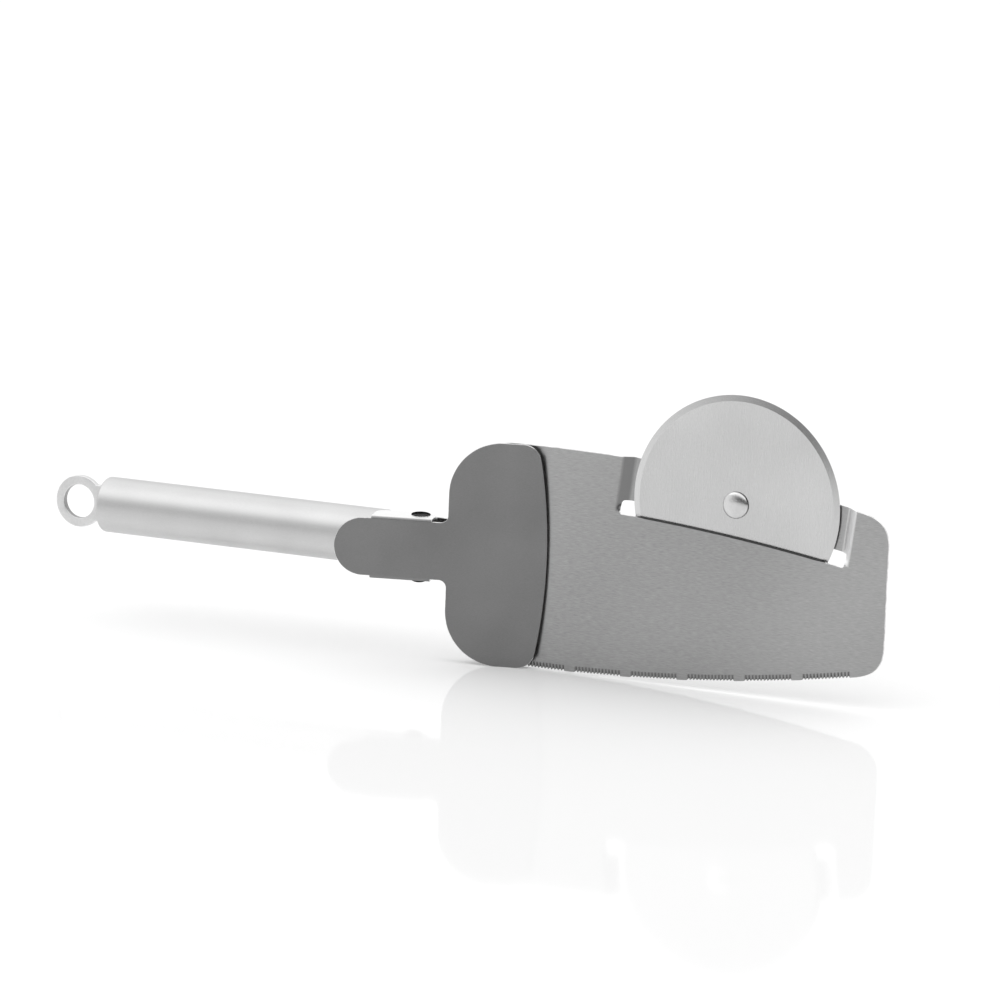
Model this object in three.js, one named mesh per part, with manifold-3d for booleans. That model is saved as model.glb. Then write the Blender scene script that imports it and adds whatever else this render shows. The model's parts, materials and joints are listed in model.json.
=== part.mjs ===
import * as THREE from 'three';
import { mergeVertices } from 'three/addons/utils/BufferGeometryUtils.js';
import Module from 'manifold-3d';

// Pizza wheel and serrated server of stainless steel, with a sprung clamp for the slice and a tube handle.
// Millimetres, +Z up. The pieces are modelled about the clamp's pivot: X runs along the handle towards the
// blade's tip, +Y is the back, and the handle's axis lies on Y = 0, Z = 0. The finished assembly is then
// set down with the middle of its footprint at the origin and its lowest edge on Z = 0.

// Sheet metal and clearances
const bladeSheet = 1.0;
const leverSheet = 1.0;
const runningGap = 0.4;
const slideGap = 0.1;
const hingeGap = 0.3;
const pinGap = 0.15;
const fitGap = 0.15;
const jawGap = 0.3;

// Server blade, measured from the pivot
const bladeTip = 172.6;
const bladeWidth = 78.4;
const tipWidth = 52.8;
const curveStart = 45;
const tipCorner = 9;
const shoulderX = 14;
const shoulderRadius = 19;
const neckFillet = 3;
const tangWidth = 14;
const earRadius = 4.5;

// Serrated edge
const firstTooth = 37.4;
const toothPitch = 1.25;
const toothDepth = 0.7;
const teethPerGroup = 14;
const toothGroups = 6;
const smoothGap = 3.7;

// Cutting wheel and the joggled bridge that carries it
const wheelDiameter = 76;
const wheelThickness = 1.0;
const wheelBevel = 2.1;
const wheelEdge = 0.2;
const axleX = 115.8;
const axleInset = 13.2;
const rimClearance = 1.0;
const tipClearance = 2.0;
const rampRun = 4.5;
const slitDrop = 10.95;
const slitTilt = THREE.MathUtils.degToRad(6.7);
const slitRadius = 714;
const reliefWidth = 7;
const reliefInset = 2.0;
const reliefAbove = 4.5;
const reliefBelow = 0.2;
const reliefRound = 0.9;

// Wheel axle
const axleShank = 4;
const bushWall = 1.0;
const axleHead = 9.3;
const axleHeadHeight = 1.4;
const washerDiameter = 8.2;
const burrDiameter = 8;
const burrThickness = 0.6;
const axleTail = 6;
const axleTailHeight = 1.0;

// Clamp lever: a T-shaped plate with a thumb tongue and two flanges that straddle the blade's ears
const clampAngle = THREE.MathUtils.degToRad(15);
const pinToFace = 8.5;
const channelHeight = 22.2;
const flangeStart = -16.2;
const flangeEnd = 5.4;
const flangeDepth = 13;
const flangeCorner = 4;
const bendRadius = 1.1;
const tongueEnd = -29.1;
const tongueWidth = 20.4;
const leverOverhang = 0.35;
const leverEdge = 11.1;
const leverShoulder = 19;
const leverFillet = 2.6;
const jawReach = 46;
const jawRadius = 190;
const jawCorner = 6.8;

// Clamp pivot and spring
const pinDiameter = 4;
const pinHead = 6.8;
const pinHeadHeight = 0.8;
const pinTailHeight = 1.8;
const springWire = 1.0;
const springRadius = 3.4;
const springTurns = 6;
const springPitch = 1.8;
const springLegReach = 13;

// Handle
const tubeDiameter = 20;
const tubeWall = 1.0;
const tubeFront = -16.4;
const tubeLength = 111.6;
const tubeEdgeRadius = 1;
const plugLength = 12;
const plugRecess = 0.6;
const tangTail = 1.5;
const ringDiameter = 18.8;
const ringHole = 12.2;
const ringThickness = 2.4;
const ringStand = 1.8;
const ringStemWidth = 13.2;
const ringStemDepth = 3;

// Smallest inner radius of a bend, and facets of the round pieces
const leastBend = 0.2;
const wheelFacets = 80;
const tubeFacets = 48;
const rivetFacets = 32;
const pinFacets = 24;
const washerFacets = 24;
const wireFacets = 6;

// Derived planes and places
const wheelFront = -wheelThickness / 2;
const bladeBack = wheelFront - runningGap;
const bladeFront = bladeBack - bladeSheet;
const tabFront = wheelThickness / 2 + runningGap;
const tabBack = tabFront + bladeSheet;
const wheelRadius = wheelDiameter / 2;
const axleZ = bladeWidth / 2 - axleInset;
const flangeOuter = channelHeight / 2;
const flangeInner = flangeOuter - leverSheet;
const earOuter = flangeInner - hingeGap;
const earInner = earOuter - bladeSheet;
const leverHeight = bladeWidth + 2 * leverOverhang;
const leverFace = -pinToFace;
const leverBack = leverFace + leverSheet;
const pivotY = bladeFront - jawGap - jawReach * Math.sin(clampAngle) - leverBack * Math.cos(clampAngle);
const tubeRadius = tubeDiameter / 2;
const boreRadius = tubeRadius - tubeWall;
const tubeRear = tubeFront - tubeLength;
const tangEnd = tubeFront - plugRecess - plugLength - tangTail;

const wasm = await Module();
wasm.setup();

// A closed geometry as a solid that can be joined and cut.
function solid(geometry) {
  geometry.deleteAttribute('normal');
  geometry.deleteAttribute('uv');
  const welded = mergeVertices(geometry, 1e-4);
  return new wasm.Manifold(new wasm.Mesh({
    numProp: 3,
    vertProperties: new Float32Array(welded.attributes.position.array),
    triVerts: new Uint32Array(welded.index.array),
  }));
}

// A joined or cut solid as a geometry again.
function geometryOf(shape) {
  const mesh = shape.getMesh();
  const geometry = new THREE.BufferGeometry();
  geometry.setAttribute('position', new THREE.BufferAttribute(new Float32Array(mesh.vertProperties), 3));
  geometry.setIndex(new THREE.BufferAttribute(new Uint32Array(mesh.triVerts), 1));
  geometry.computeVertexNormals();
  return geometry;
}

// An outline in X and Z as a plate whose front face lies at Y = front.
function plate(outline, front, thickness, curveSegments = 12) {
  const depth = thickness;
  const geometry = new THREE.ExtrudeGeometry(outline, { depth, bevelEnabled: false, curveSegments });
  geometry.rotateX(Math.PI / 2);
  geometry.translate(0, front + thickness, 0);
  return geometry;
}

// An outline in X and Y as an upright prism from Z = low to Z = high.
function prism(outline, low, high, curveSegments = 12) {
  const depth = high - low;
  const geometry = new THREE.ExtrudeGeometry(outline, { depth, bevelEnabled: false, curveSegments });
  geometry.translate(0, 0, low);
  return geometry;
}

// A box between two corners.
function block(x0, x1, y0, y1, z0, z1) {
  const geometry = new THREE.BoxGeometry(x1 - x0, y1 - y0, z1 - z0);
  geometry.translate((x0 + x1) / 2, (y0 + y1) / 2, (z0 + z1) / 2);
  return geometry;
}

// A profile of [radius, height] points turned about Y.
function turned(profile, segments) {
  const points = profile.map(([radius, height]) => new THREE.Vector2(radius, height));
  return new THREE.LatheGeometry(points, segments);
}

// Points of a low dome that rises from its rim to the axis along a quarter of an ellipse.
function dome(rimRadius, base, rise, steps = 5) {
  return Array.from({ length: steps }, (_, i) => {
    const angle = (i / steps) * (Math.PI / 2);
    return [rimRadius * Math.cos(angle), base + rise * Math.sin(angle)];
  }).concat([[0, base + rise]]);
}

// A flat ring turned about Y between two heights.
function washer(inner, outer, low, high) {
  return turned([[inner, low], [outer, low], [outer, high], [inner, high], [inner, low]], washerFacets);
}

// Half the blade's width at a place along it: parallel at first, then falling away in a long curve.
function halfWidth(x) {
  const along = Math.max(0, x - curveStart) / (bladeTip - curveStart);
  return bladeWidth / 2 - ((bladeWidth - tipWidth) / 2) * along ** 2;
}

// Height of the slit, a very flat arc, at a place along its own tangent under the axle.
function slitSag(along) {
  return -(along ** 2) / (2 * slitRadius);
}

// Takes a geometry from the slit's own frame, with X along that tangent, to its place in the blade.
function alongSlit(geometry) {
  geometry.rotateY(slitTilt);
  geometry.translate(axleX, 0, axleZ - slitDrop);
  return geometry;
}

// The area above the slit, in the slit's frame, from the first to the last of some places along it.
function aboveSlit(places) {
  const area = new THREE.Shape();
  area.moveTo(places[places.length - 1], bladeWidth);
  area.lineTo(places[0], bladeWidth);
  places.forEach((along) => area.lineTo(along, slitSag(along)));
  area.closePath();
  return area;
}

// Outline of the server: tang, neck, shoulders, smooth upper edge and serrated lower edge.
function bladeOutline() {
  const half = bladeWidth / 2;
  const tang = tangWidth / 2;
  const cornerX = bladeTip - tipCorner;
  const flatEnd = shoulderX + shoulderRadius;
  const filletX = shoulderX - neckFillet;
  const filletZ = earOuter + neckFillet;
  const neckStart = -earRadius - neckFillet;
  const edgeSteps = 16;
  const outline = new THREE.Shape();
  outline.moveTo(tangEnd, -tang);
  outline.lineTo(neckStart - (earOuter - tang), -tang);
  outline.lineTo(neckStart, -earOuter);
  outline.lineTo(filletX, -earOuter);
  outline.absarc(filletX, -filletZ, neckFillet, Math.PI / 2, 0, true);
  outline.lineTo(shoulderX, -(half - shoulderRadius));
  outline.absarc(flatEnd, -(half - shoulderRadius), shoulderRadius, Math.PI, 1.5 * Math.PI, false);
  let x = firstTooth;
  for (let group = 0; group < toothGroups; group++) {
    for (let tooth = 0; tooth < teethPerGroup; tooth++) {
      outline.lineTo(x, -halfWidth(x));
      outline.lineTo(x + toothPitch / 2, toothDepth - halfWidth(x + toothPitch / 2));
      x += toothPitch;
    }
    outline.lineTo(x, -halfWidth(x));
    x += smoothGap;
  }
  outline.lineTo(cornerX, -halfWidth(cornerX));
  outline.quadraticCurveTo(bladeTip, -halfWidth(bladeTip), bladeTip, tipCorner - halfWidth(bladeTip));
  outline.lineTo(bladeTip, halfWidth(bladeTip) - tipCorner);
  outline.quadraticCurveTo(bladeTip, halfWidth(bladeTip), cornerX, halfWidth(cornerX));
  for (let i = 1; i <= edgeSteps; i++) {
    const edgeX = THREE.MathUtils.lerp(cornerX, curveStart, i / edgeSteps);
    outline.lineTo(edgeX, halfWidth(edgeX));
  }
  outline.lineTo(flatEnd, half);
  outline.absarc(flatEnd, half - shoulderRadius, shoulderRadius, Math.PI / 2, Math.PI, false);
  outline.lineTo(shoulderX, filletZ);
  outline.absarc(filletX, filletZ, neckFillet, 0, -Math.PI / 2, true);
  outline.lineTo(neckStart, earOuter);
  outline.lineTo(neckStart - (earOuter - tang), tang);
  outline.lineTo(tangEnd, tang);
  outline.closePath();
  return outline;
}

// Relief hole with rounded corners at one end of the slit, running inwards and turned with the arc.
function reliefHole(outer, inwards) {
  const r = reliefRound;
  const x0 = Math.min(0, inwards * reliefWidth);
  const x1 = x0 + reliefWidth;
  const z0 = -reliefBelow;
  const z1 = reliefAbove;
  const hole = new THREE.Shape();
  hole.absarc(x0 + r, z0 + r, r, Math.PI, 1.5 * Math.PI, false);
  hole.absarc(x1 - r, z0 + r, r, -Math.PI / 2, 0, false);
  hole.absarc(x1 - r, z1 - r, r, 0, Math.PI / 2, false);
  hole.absarc(x0 + r, z1 - r, r, Math.PI / 2, Math.PI, false);
  hole.closePath();
  const geometry = plate(hole, bladeFront - bladeSheet, tabBack - bladeFront + 2 * bladeSheet, 5);
  geometry.rotateY(outer / slitRadius);
  geometry.translate(outer, 0, slitSag(outer));
  return solid(alongSlit(geometry));
}

// The server is one stamping: the part above the slit is pressed back, so that the wheel runs in front of
// this bridge and behind the rest of the blade. Two ears bent forward from the neck carry the clamp's pin.
function bladeGeometry() {
  const outline = bladeOutline();
  const axleAlong = -slitDrop * Math.sin(slitTilt);
  const tabLeft = axleAlong - wheelRadius - rimClearance;
  const tabRight = axleAlong + wheelRadius + tipClearance;
  const rampLeft = tabLeft - rampRun;
  const rampRight = tabRight + rampRun;
  const lap = bladeSheet;
  const slitSteps = 12;
  const places = [];
  for (let i = 0; i <= slitSteps; i++) {
    places.push(THREE.MathUtils.lerp(rampLeft, rampRight, i / slitSteps));
  }
  const window = aboveSlit(places);
  const bridgeArea = aboveSlit([rampLeft - lap, ...places, rampRight + lap]);

  const bend = new THREE.Shape();
  bend.moveTo(rampLeft - 2 * lap, bladeFront);
  bend.lineTo(rampLeft, bladeFront);
  bend.lineTo(tabLeft, tabFront);
  bend.lineTo(tabRight, tabFront);
  bend.lineTo(rampRight, bladeFront);
  bend.lineTo(rampRight + 2 * lap, bladeFront);
  bend.lineTo(rampRight + 2 * lap, bladeBack);
  bend.lineTo(rampRight, bladeBack);
  bend.lineTo(tabRight, tabBack);
  bend.lineTo(tabLeft, tabBack);
  bend.lineTo(rampLeft, bladeBack);
  bend.lineTo(rampLeft - 2 * lap, bladeBack);
  bend.closePath();

  const deepFront = bladeFront - bladeSheet;
  const deep = tabBack - bladeFront + 2 * bladeSheet;
  const bridge = solid(alongSlit(prism(bend, -bladeWidth, bladeWidth)))
    .intersect(solid(plate(outline, deepFront, deep)))
    .intersect(solid(alongSlit(plate(bridgeArea, deepFront, deep))));

  const ear = new THREE.Shape();
  ear.moveTo(-earRadius, bladeBack);
  ear.lineTo(-earRadius, pivotY);
  ear.absarc(0, pivotY, earRadius, Math.PI, 2 * Math.PI, false);
  ear.lineTo(earRadius, bladeBack);
  ear.closePath();
  const pinHole = new THREE.Path();
  pinHole.absarc(0, pivotY, pinDiameter / 2 + pinGap, 0, 2 * Math.PI, true);
  ear.holes.push(pinHole);

  const holeRadius = axleShank / 2 + pinGap;
  const axleHole = turned([
    [0, -tabBack],
    [holeRadius, -tabBack],
    [holeRadius, 2 * tabBack],
    [0, 2 * tabBack],
  ], rivetFacets);
  axleHole.translate(axleX, 0, axleZ);

  const blade = solid(plate(outline, bladeFront, bladeSheet))
    .subtract(solid(alongSlit(plate(window, deepFront, deep))))
    .add(bridge)
    .subtract(reliefHole(rampLeft + reliefInset, 1))
    .subtract(reliefHole(rampRight - reliefInset, -1))
    .subtract(solid(axleHole))
    .add(solid(prism(ear, earInner, earOuter, 12)))
    .add(solid(prism(ear, -earOuter, -earInner, 12)));
  return geometryOf(blade);
}

// Disc ground to a double bevel, with a hole that runs on the bush.
function wheelGeometry() {
  const hole = axleShank / 2 + fitGap + bushWall + pinGap;
  const half = wheelThickness / 2;
  return turned([
    [hole, -half],
    [wheelRadius - wheelBevel, -half],
    [wheelRadius, -wheelEdge / 2],
    [wheelRadius, wheelEdge / 2],
    [wheelRadius - wheelBevel, half],
    [hole, half],
    [hole, -half],
  ], wheelFacets);
}

// Rivet that carries the wheel: domed head in front, shank through the bridge, peened tail at the back.
function axleRivetGeometry() {
  const headSeat = wheelFront - runningGap;
  const tailSeat = tabBack + slideGap + burrThickness + slideGap;
  const front = dome(axleHead / 2, -headSeat, axleHeadHeight, 6).reverse();
  const back = dome(axleTail / 2, tailSeat, axleTailHeight, 4);
  return turned([
    ...front.map(([radius, height]) => [radius, -height]),
    [axleShank / 2, headSeat],
    [axleShank / 2, tailSeat],
    ...back,
  ], rivetFacets);
}

// Outline of the lever's flat plate in its own X and Z: tongue, neck and the wide T-shaped jaw.
function leverOutline() {
  const tongue = tongueWidth / 2;
  const web = flangeOuter - bendRadius;
  const half = leverHeight / 2;
  const filletX = leverEdge - leverFillet;
  const filletZ = tongue + leverFillet;
  const shoulderS = leverEdge + leverShoulder;
  const jawCentre = jawReach - jawRadius;
  const cornerZ = half - jawCorner;
  const cornerS = jawCentre + Math.sqrt((jawRadius - jawCorner) ** 2 - cornerZ ** 2);
  const jawAngle = Math.asin(cornerZ / (jawRadius - jawCorner));
  const outline = new THREE.Shape();
  outline.moveTo(flangeStart, -tongue);
  outline.lineTo(flangeStart, -web);
  outline.lineTo(flangeEnd, -web);
  outline.lineTo(flangeEnd, -tongue);
  outline.lineTo(filletX, -tongue);
  outline.absarc(filletX, -filletZ, leverFillet, Math.PI / 2, 0, true);
  outline.lineTo(leverEdge, leverShoulder - half);
  outline.absarc(shoulderS, leverShoulder - half, leverShoulder, Math.PI, 1.5 * Math.PI, false);
  outline.absarc(cornerS, -cornerZ, jawCorner, 1.5 * Math.PI, 2 * Math.PI - jawAngle, false);
  outline.absarc(jawCentre, 0, jawRadius, -jawAngle, jawAngle, false);
  outline.absarc(cornerS, cornerZ, jawCorner, jawAngle, Math.PI / 2, false);
  outline.absarc(shoulderS, half - leverShoulder, leverShoulder, Math.PI / 2, Math.PI, false);
  outline.lineTo(leverEdge, filletZ);
  outline.absarc(filletX, filletZ, leverFillet, 0, -Math.PI / 2, true);
  outline.lineTo(flangeEnd, tongue);
  outline.lineTo(flangeEnd, web);
  outline.lineTo(flangeStart, web);
  outline.lineTo(flangeStart, tongue);
  outline.absarc(tongueEnd + tongue, 0, tongue, Math.PI / 2, 1.5 * Math.PI, false);
  outline.closePath();
  return outline;
}

// Clamp lever about its own pivot: front plate, bent channel of two flanges, and the holes for the pin.
function leverGeometry() {
  const back = leverFace + flangeDepth;
  const innerBend = Math.max(bendRadius - leverSheet, leastBend);
  const channel = new THREE.Shape();
  channel.moveTo(back, flangeOuter);
  channel.lineTo(leverFace + bendRadius, flangeOuter);
  channel.absarc(leverFace + bendRadius, flangeOuter - bendRadius, bendRadius, Math.PI / 2, Math.PI, false);
  channel.absarc(leverFace + bendRadius, bendRadius - flangeOuter, bendRadius, Math.PI, 1.5 * Math.PI, false);
  channel.lineTo(back, -flangeOuter);
  channel.lineTo(back, -flangeInner);
  channel.absarc(leverBack + innerBend, innerBend - flangeInner, innerBend, 1.5 * Math.PI, Math.PI, true);
  channel.absarc(leverBack + innerBend, flangeInner - innerBend, innerBend, Math.PI, Math.PI / 2, true);
  channel.lineTo(back, flangeInner);
  channel.closePath();
  const depth = flangeEnd - flangeStart;
  const curveSegments = 5;
  const channelGeometry = new THREE.ExtrudeGeometry(channel, { depth, bevelEnabled: false, curveSegments });
  const alongLever = new THREE.Matrix4().makeBasis(
    new THREE.Vector3(0, 1, 0),
    new THREE.Vector3(0, 0, 1),
    new THREE.Vector3(1, 0, 0),
  );
  channelGeometry.applyMatrix4(alongLever);
  channelGeometry.translate(flangeStart, 0, 0);

  const flangeSide = new THREE.Shape();
  flangeSide.moveTo(flangeStart, leverFace - leverSheet);
  flangeSide.lineTo(flangeEnd, leverFace - leverSheet);
  const cornerY = back - flangeCorner;
  flangeSide.absarc(flangeEnd - flangeCorner, cornerY, flangeCorner, 0, Math.PI / 2, false);
  flangeSide.absarc(flangeStart + flangeCorner, cornerY, flangeCorner, Math.PI / 2, Math.PI, false);
  flangeSide.closePath();

  const pinHole = new THREE.Shape();
  pinHole.absarc(0, 0, pinDiameter / 2 + pinGap, 0, 2 * Math.PI, false);

  const lever = solid(channelGeometry)
    .intersect(solid(prism(flangeSide, -channelHeight, channelHeight, 8)))
    .add(solid(plate(leverOutline(), leverFace, leverSheet, 12)))
    .subtract(solid(prism(pinHole, -channelHeight, channelHeight, 12)));
  return geometryOf(lever);
}

// Pin riveted over at both ends, upright through the flanges and the ears.
function pinGeometry() {
  const seat = flangeOuter + slideGap;
  const top = dome(pinHead / 2, seat, pinHeadHeight);
  const bottom = dome(pinHead / 2, seat, pinTailHeight).reverse();
  const geometry = turned([
    ...bottom.map(([radius, height]) => [radius, -height]),
    [pinDiameter / 2, -seat],
    [pinDiameter / 2, seat],
    ...top,
  ], pinFacets);
  geometry.rotateX(Math.PI / 2);
  return geometry;
}

// Wire of the torsion spring about the pin: one leg lies on the tang, the coil climbs round the pin and the
// other leg bears on the inside of the tongue.
class SpringPath extends THREE.Curve {
  constructor() {
    super();
    this.arcLengthDivisions = 600;
    const wire = springWire / 2;
    const lowerSeat = new THREE.Vector2(-springLegReach, bladeFront - hingeGap - wire - pivotY);
    const upperSeat = new THREE.Vector2(-springLegReach, leverBack + hingeGap + wire);
    upperSeat.rotateAround(new THREE.Vector2(), clampAngle);
    this.lowerSeat = lowerSeat;
    this.upperSeat = upperSeat;
    const lowerSpread = Math.acos(springRadius / lowerSeat.length());
    const upperSpread = Math.acos(springRadius / upperSeat.length());
    this.startAngle = lowerSeat.angle() - lowerSpread;
    const lastAngle = upperSeat.angle() + upperSpread - 2 * Math.PI;
    this.endAngle = lastAngle - 2 * Math.PI * springTurns;
    this.rise = (springPitch * (this.startAngle - this.endAngle)) / (2 * Math.PI);
    this.lowerLeg = Math.sqrt(lowerSeat.lengthSq() - springRadius ** 2);
    this.upperLeg = Math.sqrt(upperSeat.lengthSq() - springRadius ** 2);
    this.coil = springRadius * (this.startAngle - this.endAngle);
  }

  getPoint(t, target = new THREE.Vector3()) {
    const total = this.lowerLeg + this.coil + this.upperLeg;
    const along = t * total;
    const low = -this.rise / 2;
    if (along < this.lowerLeg) {
      return this.between(this.lowerSeat, this.startAngle, along / this.lowerLeg, low, target);
    }
    if (along > this.lowerLeg + this.coil) {
      return this.between(this.upperSeat, this.endAngle, (total - along) / this.upperLeg, -low, target);
    }
    const turn = (along - this.lowerLeg) / this.coil;
    const angle = THREE.MathUtils.lerp(this.startAngle, this.endAngle, turn);
    const height = low + this.rise * turn;
    return target.set(springRadius * Math.cos(angle), springRadius * Math.sin(angle), height);
  }

  between(seat, angle, share, height, target) {
    const x = THREE.MathUtils.lerp(seat.x, springRadius * Math.cos(angle), share);
    const y = THREE.MathUtils.lerp(seat.y, springRadius * Math.sin(angle), share);
    return target.set(x, y, height);
  }

  // Least clear distance between stretches of wire that are at least half a turn apart.
  leastGap() {
    const samples = 400;
    const points = this.getSpacedPoints(samples);
    const apart = Math.ceil((Math.PI * springRadius) / (this.getLength() / samples));
    let least = Infinity;
    points.forEach((point, i) => {
      for (let j = i + apart; j < points.length; j++) {
        least = Math.min(least, point.distanceTo(points[j]) - springWire);
      }
    });
    return least;
  }
}

function springGeometry() {
  const path = new SpringPath();
  console.log(`clamp_spring: least gap between turns ${path.leastGap().toFixed(2)} mm`);
  const section = new THREE.Shape();
  section.absarc(0, 0, springWire / 2, 0, 2 * Math.PI, false);
  const stepsPerTurn = 10;
  const legSteps = 10;
  const steps = stepsPerTurn * springTurns + 2 * legSteps;
  const curveSegments = wireFacets / 2;
  return new THREE.ExtrudeGeometry(section, { steps, extrudePath: path, curveSegments });
}

// Drawn tube with a closed, rounded rear end and a slot there for the ring's stem.
function tubeGeometry() {
  const outerArc = [];
  const innerArc = [];
  const innerEdge = Math.max(tubeEdgeRadius - tubeWall, leastBend);
  const arcSteps = 5;
  for (let i = 0; i <= arcSteps; i++) {
    const angle = (i / arcSteps) * (Math.PI / 2);
    outerArc.push([
      tubeRadius - tubeEdgeRadius + tubeEdgeRadius * Math.sin(angle),
      tubeRear + tubeEdgeRadius - tubeEdgeRadius * Math.cos(angle),
    ]);
    innerArc.push([
      boreRadius - innerEdge + innerEdge * Math.cos(angle),
      tubeRear + tubeWall + innerEdge - innerEdge * Math.sin(angle),
    ]);
  }
  const profile = turned([
    [0, tubeRear],
    ...outerArc,
    [tubeRadius, tubeFront],
    [boreRadius, tubeFront],
    ...innerArc,
    [0, tubeRear + tubeWall],
  ], tubeFacets);
  profile.rotateZ(-Math.PI / 2);
  const slotY = ringThickness / 2 + fitGap;
  const slotZ = ringStemWidth / 2 + fitGap;
  const slot = block(tubeRear - tubeWall, tubeRear + 2 * tubeWall, -slotY, slotY, -slotZ, slotZ);
  return geometryOf(solid(profile).subtract(solid(slot)));
}

// Plug that closes the tube's front end and grips the blade's tang in a slot.
function plugGeometry() {
  const radius = boreRadius - fitGap;
  const front = tubeFront - plugRecess;
  const rear = front - plugLength;
  const profile = turned([[0, rear], [radius, rear], [radius, front], [0, front]], tubeFacets);
  profile.rotateZ(-Math.PI / 2);
  const slotFront = bladeFront - fitGap;
  const slotBack = bladeBack + fitGap;
  const slotZ = tangWidth / 2 + fitGap;
  const slot = block(rear - plugLength, front + plugLength, slotFront, slotBack, -slotZ, slotZ);
  return geometryOf(solid(profile).subtract(solid(slot)));
}

// Flat hanging ring whose stem is welded into the slot in the tube's rear end.
function ringGeometry() {
  const outerRadius = ringDiameter / 2;
  const centre = tubeRear - ringStand - outerRadius;
  const face = new THREE.Shape();
  face.absarc(centre, 0, outerRadius, 0, 2 * Math.PI, false);
  const hole = new THREE.Path();
  hole.absarc(centre, 0, ringHole / 2, 0, 2 * Math.PI, true);
  face.holes.push(hole);
  const front = -ringThickness / 2;
  const stemEnd = tubeRear + tubeWall + ringStemDepth;
  const stemHalf = ringStemWidth / 2;
  const stem = block(centre, stemEnd, front, -front, -stemHalf, stemHalf);
  const bore = new THREE.Shape();
  bore.absarc(centre, 0, ringHole / 2, 0, 2 * Math.PI, false);
  const ring = solid(plate(face, front, ringThickness, 24))
    .add(solid(stem))
    .subtract(solid(plate(bore, 2 * front, 2 * ringThickness, 24)));
  return geometryOf(ring);
}

// One named piece in steel of its own shade and finish.
function piece(name, geometry, colour, roughness) {
  const material = new THREE.MeshStandardMaterial({ color: colour, roughness, metalness: 1 });
  const mesh = new THREE.Mesh(geometry, material);
  mesh.name = name;
  return mesh;
}

const assembly = new THREE.Group();

// Blade, wheel and axle
assembly.add(piece('blade_plate', bladeGeometry(), 0xa6a6a6, 0.34));
const axle = new THREE.Group();
axle.position.set(axleX, 0, axleZ);
const bushInner = axleShank / 2 + fitGap;
const bushOuter = bushInner + bushWall;
const bushEnd = tabFront - slideGap;
const washerInner = bushOuter + pinGap;
const washerOuter = washerDiameter / 2;
const washerFace = wheelThickness / 2 + slideGap;
const frontWasher = washer(washerInner, washerOuter, -bushEnd, -washerFace);
const backWasher = washer(washerInner, washerOuter, washerFace, bushEnd);
axle.add(piece('cutting_wheel', wheelGeometry(), 0xcccccc, 0.28));
axle.add(piece('axle_bush', washer(bushInner, bushOuter, -bushEnd, bushEnd), 0xa8a8a8, 0.35));
axle.add(piece('wheel_washer_front', frontWasher, 0xbebebe, 0.3));
axle.add(piece('wheel_washer_back', backWasher, 0xbebebe, 0.3));
axle.add(piece('axle_rivet', axleRivetGeometry(), 0xc6c6c6, 0.22));
const burrFront = tabBack + slideGap;
const burrHole = axleShank / 2 + fitGap;
const burr = washer(burrHole, burrDiameter / 2, burrFront, burrFront + burrThickness);
axle.add(piece('axle_burr', burr, 0xb8b8b8, 0.32));
assembly.add(axle);

// Clamp lever, its pin and its spring
const pivot = new THREE.Group();
pivot.position.set(0, pivotY, 0);
const lever = piece('clamp_lever', leverGeometry(), 0x898989, 0.45);
lever.rotation.z = clampAngle;
pivot.add(lever);
pivot.add(piece('pivot_rivet', pinGeometry(), 0x484848, 0.28));
pivot.add(piece('clamp_spring', springGeometry(), 0x9a9a9a, 0.3));
assembly.add(pivot);

// Handle
assembly.add(piece('handle_tube', tubeGeometry(), 0xc8c8c8, 0.35));
assembly.add(piece('handle_plug', plugGeometry(), 0xa6a6a6, 0.36));
assembly.add(piece('hanging_ring', ringGeometry(), 0xd4d4d4, 0.4));

// Set down on the floor, centred over the origin
assembly.updateMatrixWorld(true);
const box = new THREE.Box3().setFromObject(assembly, true);
assembly.position.set(-(box.min.x + box.max.x) / 2, -(box.min.y + box.max.y) / 2, -box.min.z);
assembly.updateMatrixWorld(true);

export default assembly;
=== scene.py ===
import json
import math

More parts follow.
